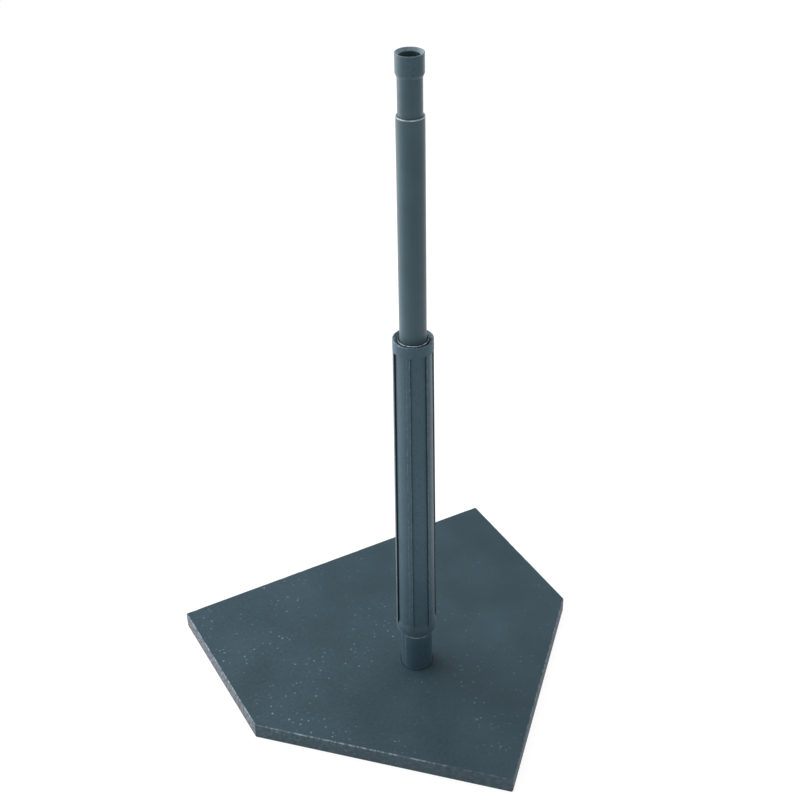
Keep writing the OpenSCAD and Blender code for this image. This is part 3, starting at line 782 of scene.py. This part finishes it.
def makeRibbedSleeve(sizes):
    low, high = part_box("ribbed_sleeve")
    lip, top = sizes["lipRadius"] * mm, sizes["topRadius"] * mm
    base = nodeRadius("ribbed_sleeve")
    bore = nodeRadius("sleeve_liner") + sizes["boreGap"] * mm
    mouth = top - sizes["rimWide"] * mm
    shoulderLow = low.z + sizes["lipHigh"] * mm
    baseZ = shoulderLow + sizes["shoulderHigh"] * mm
    panelLow, panelHigh = baseZ + sizes["footBand"] * mm, high.z - sizes["collarHigh"] * mm
    soft, fade = sizes["edgeSoft"] * mm, sizes["footFade"] * mm

    def wallAt(z):  # the wall's taper
        return base + (top - base) * (z - baseZ) / (high.z - baseZ)

    corners = [(bore, low.z, 0, 0), (lip, low.z, 0.5 * mm, 0.8), (lip, shoulderLow, 0.3 * mm, 0)]
    for k in range(1, sizes["shoulderSteps"] + 1):  # rounded shoulder
        a = math.radians(90 * k / sizes["shoulderSteps"])
        r, z = lip + (base - lip) * math.sin(a), baseZ - (baseZ - shoulderLow) * math.cos(a)
        corners.append((r, z, 0, 0))
    heights = [panelLow + fade * k / 10 for k in range(-1, 12)]  # close rings where the panels run out
    run, steps = panelHigh - panelLow, sizes["wallSteps"]
    heights += [panelLow + run * k / steps for k in range(1, steps)]
    heights += [panelHigh + soft * k / 3 for k in range(-6, 3)]  # and at the step under the collar
    corners += [(wallAt(z), z, 0, 0) for z in heights]
    corners += [
        # pale rim: wear and a painted highlight; the mouth's cone is painted lighter, as painted light from
        # above
        (top, high.z, 0.8 * mm, 0.9), (mouth, high.z, 0.3 * mm, 0.7, 0.4),
        (bore, high.z - sizes["mouthDeep"] * mm, 0.3 * mm, 0),
    ]
    shell = latheObject("ribbedSleeve", roundedProfile(corners), angles=ribAngles(sizes))
    # only the outside between the shoulder and the collar is sunk
    points = [v.co for v in shell.data.vertices]
    skin = [1.0 if Vector(p[:2]).length > lip and p.z < panelHigh else 0.0 for p in points]
    storeValues(shell.data, "outerSkin", skin)
    shaded = math.radians(sizes["shadedTurn"])
    shares = ("grooveShade", "ribWearAndHighlight", "runOutShade", "footShade", "shadeLeast")
    lengths = ("panelDepth", "edgeSoft", "footFade", "grooveDepth", "grooveWide")
    values = {name: sizes[name] for name in shares}
    values |= {name: sizes[name] * mm for name in lengths}
    values |= {name: math.radians(sizes[name]) for name in ("ribAngle", "ribTurn")}
    values |= {
        "ribCount": float(sizes["ribCount"]), "panelLow": panelLow, "panelHigh": panelHigh,
        "shadeLow": baseZ, "shadeHigh": baseZ + sizes["footShadeHigh"] * mm}
    nodeModifier(shell, panelTree(values), values | {
        "shadedSide": (math.cos(shaded), math.sin(shaded), 0.0), "finish": sleeveRubber})
    return bakeModifiers(shell)


dress(makeRibbedSleeve(ribbedSleeve), sleeveRubber, "sleeve", "ribbed_sleeve")


# Sleeve liner: the tube inside the sleeve, with a tail for the socket

sleeveLiner = {
    "slideGap": 0.3, "tailRadius": 14.82, "tailWall": 3.0, "ledgeThick": 4.0, "rimRound": 0.7,
    "rimWearAndLight": 1.8, "litSide": 250.0, "innerRimShade": -1.0, "boreShade": -0.9,  # the rim's pale line is wear and a painted highlight, strongest on one side; below zero is painted shade
}


def makeSleeveLiner(sizes):
    low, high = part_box("sleeve_liner")
    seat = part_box("ribbed_sleeve")[0].z
    outer = nodeRadius("sleeve_liner")
    bore = nodeRadius("middle_tube") + sizes["slideGap"] * mm
    tail = sizes["tailRadius"] * mm
    tailBore = tail - sizes["tailWall"] * mm
    ledge = seat + sizes["ledgeThick"] * mm
    rim = sizes["rimRound"] * mm
    return latheObject("sleeveLiner", roundedProfile([
        (tailBore, low.z, 0.5 * mm, 0), (tail, low.z, 1.2 * mm, 0.3), (tail, seat, 0, 0), (outer, seat, 0, 0),
        (outer, high.z, 0.4 * rim, sizes["rimWearAndLight"]),
        (bore, high.z, 0.9 * rim, sizes["innerRimShade"], sizes["boreShade"]),
        (bore, ledge, 0, 0), (tailBore, ledge, 0.5 * mm, 0),
    ]), litSide=sizes["litSide"])


dress(makeSleeveLiner(sleeveLiner), linerVinyl, "sleeve", "sleeve_liner")


# Telescoping tubes: thin walls with a softened rim, rubbed pale on the middle tube, and painted shade in the
# bores

slidingTubes = {
    # bores painted dark as shade; the upper tube's rim, hidden in the cup, is painted dark as shade too
    "middle_tube": {"piece": "middleTube", "body": "middle", "wall": 1.6, "rimRound": 0.55, "rimWearAndLight": 1.0,
                    "boreShade": -0.7},
    "upper_tube": {"piece": "upperTube", "body": "upper", "wall": 1.9, "rimRound": 0.55, "rimWearAndLight": -0.3,
                   "boreShade": 0.0},
}


def makeTube(node, sizes):
    low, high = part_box(node)
    outer = nodeRadius(node)
    bore = outer - sizes["wall"] * mm
    rim = sizes["rimRound"] * mm
    return latheObject(sizes["piece"], roundedProfile([
        (bore, low.z, rim, 0), (outer, low.z, rim, 0), (outer, high.z, rim, sizes["rimWearAndLight"]),
        (bore, high.z, rim, sizes["rimWearAndLight"], sizes["boreShade"])]))


for node, sizes in slidingTubes.items():
    dress(makeTube(node, sizes), tubeVinyl, sizes["body"], node)


# Ball cup: flared cup with a conical seat, chamfered down to the tube

ballCup = {
    "pushGap": 0.05, "tubeWall": 1.9, "sideHigh": 19.0, "edgeThick": 0.4, "rimWide": 0.9,
    # the seat's pale tone is painted light on the upward-facing seat, over the ball's wear
    "seatDeep": 3.0, "lipHigh": 0.4, "rimWearAndLight": 0.35, "seatWear": 0.7, "seatLitTone": 1.1,
}


def makeBallCup(sizes):
    low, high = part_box("ball_cup")
    outer = nodeRadius("ball_cup")
    tube = nodeRadius("upper_tube")
    bore = tube + sizes["pushGap"] * mm
    hole = tube - sizes["tubeWall"] * mm
    seat = high.z - sizes["seatDeep"] * mm
    lip = seat - sizes["lipHigh"] * mm
    return latheObject("ballCup", roundedProfile([
        (bore, low.z, 0, 0), (bore + sizes["edgeThick"] * mm, low.z, 0.15 * mm, 0),
        (outer, high.z - sizes["sideHigh"] * mm, 1.2 * mm, 0), (outer, high.z, 0.6 * mm, sizes["rimWearAndLight"]),
        (outer - sizes["rimWide"] * mm, high.z, 0.4 * mm, sizes["seatWear"], sizes["seatLitTone"]),
        (hole, seat, 0.3 * mm, sizes["seatWear"]), (hole, lip, 0, 0), (bore, lip, 0, 0),
    ]))


dress(makeBallCup(ballCup), cupRubber, "upper", "ball_cup")


# Inner pieces keep their solids and take a finish

innerFinishes = {"end_plug": plugNylon, "grip_ring": ringRubber}
for name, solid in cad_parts.items():
    for word, material in innerFinishes.items():
        if word in name:
            solid.data.materials.clear()
            solid.data.materials.append(material)
print("inner pieces finished")


# Camera at the photograph's place

photoCamera = {
    "azimuth": -28.26, "elevation": 34.08, "roll": -1.11,  # degrees
    "distance": 1.6513, "across": -0.0208, "above": 0.3151,  # metres, from the middle of the plate's top
    "focalPixels": 1354.0, "framePixels": 800, "sensorWide": 36.0, "farClip": 100.0,
}


def makeCamera(view):
    azimuth, elevation, roll = (math.radians(view[k]) for k in ("azimuth", "elevation", "roll"))
    back = Vector((math.sin(azimuth) * math.cos(elevation), -math.cos(azimuth) * math.cos(elevation),
                   math.sin(elevation)))
    level = Vector((math.cos(azimuth), math.sin(azimuth), 0))
    upright = back.cross(level)
    right = level * math.cos(roll) + upright * math.sin(roll)
    up = upright * math.cos(roll) - level * math.sin(roll)
    target = Vector((0, 0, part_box("base_plate")[1].z))
    place = target + back * view["distance"] + right * view["across"] + up * view["above"]
    lens = bpy.data.cameras.new("photoCamera")
    lens.sensor_width = view["sensorWide"]
    lens.lens = view["focalPixels"] * view["sensorWide"] / view["framePixels"]
    lens.clip_end = view["farClip"]
    camera = placeObject("photoCamera", lens)
    camera.matrix_world = Matrix((right, up, back)).transposed().to_4x4()
    camera.location = place
    bpy.context.scene.camera = camera


makeCamera(photoCamera)


# Floor, world and lamps: white studio, strong soft light from the left and behind

studio = {
    "floorHalf": 30.0, "floorDrop": 0.2 * mm, "floorWhite": "f4f4f4", "floorGlow": 1.18, "shadowShare": 0.25,
    "horizonLevel": 1.0, "zenithLevel": 0.3,
    "horizonRise": 0.22, "zenithRise": 0.62,  # sines of the height angle
    "aim": (0, 0, 0.35),
    "lamps": [  # name, place, size, power
        ("keyLeft", (-1.05, 1.2, 0.9), 2.2, 42.0),
        ("rimRight", (2.0, 0.9, 0.5), 0.9, 12.0),
        ("topSoft", (0.1, 0.9, 2.3), 1.4, 14.0),
    ],
}


def makeStudio(values):
    half, low = values["floorHalf"], -values["floorDrop"]  # just clear of the plate's underside
    mesh = bpy.data.meshes.new("studioFloor")
    corners = [(-half, -half, low), (half, -half, low), (half, half, low), (-half, half, low)]
    mesh.from_pydata(corners, [], [(0, 1, 2, 3)])
    floor = placeObject("studioFloor", mesh)
    paper = bpy.data.materials.new("seamlessPaper")
    paper.use_nodes = True
    tree = paper.node_tree
    tree.nodes.clear()
    matt = addNode(tree, "ShaderNodeBsdfDiffuse", {"Color": hexToLinear(values["floorWhite"])})
    glow = addNode(tree, "ShaderNodeEmission", {"Color": (1, 1, 1, 1), "Strength": values["floorGlow"]})
    lit = addNode(tree, "ShaderNodeMixShader", {0: values["shadowShare"], 1: glow[0], 2: matt[0]})
    rays = addNode(tree, "ShaderNodeLightPath")
    seen = addNode(tree, mathNode, {0: rays["Is Camera Ray"], 1: rays["Is Glossy Ray"]}, operation="MAXIMUM")
    shown = addNode(tree, mathNode, {0: seen[0], 1: rays["Is Transmission Ray"]}, operation="MAXIMUM")
    mixed = addNode(tree, "ShaderNodeMixShader", {0: shown[0], 1: matt[0], 2: lit[0]})
    addNode(tree, "ShaderNodeOutputMaterial", {"Surface": mixed[0]})
    mesh.materials.append(paper)

    world = bpy.data.worlds.new("studioWorld")
    bpy.context.scene.world = world
    world.use_nodes = True
    tree = world.node_tree
    tree.nodes.clear()
    direction = addNode(tree, "ShaderNodeTexCoord")
    rise = addNode(tree, "ShaderNodeSeparateXYZ", {0: direction["Generated"]})
    level = addNode(tree, mapNode, {
        "Value": rise["Z"], "From Min": values["horizonRise"], "From Max": values["zenithRise"],
        "To Min": values["horizonLevel"], "To Max": values["zenithLevel"]}, **softStep)
    sky = addNode(tree, "ShaderNodeBackground", {"Color": (1, 1, 1, 1), "Strength": level[0]})
    addNode(tree, "ShaderNodeOutputWorld", {"Surface": sky[0]})

    aim = Vector(values["aim"])
    for name, place, size, power in values["lamps"]:
        lamp = bpy.data.lights.new(name, "AREA")
        lamp.shape, lamp.size, lamp.energy = "DISK", size, power
        holder = placeObject(name, lamp)
        holder.location = place
        holder.rotation_euler = (Vector(place) - aim).to_track_quat("Z", "Y").to_euler()


makeStudio(studio)
bpy.context.scene.view_settings.view_transform = "Standard"
print("studio ready")
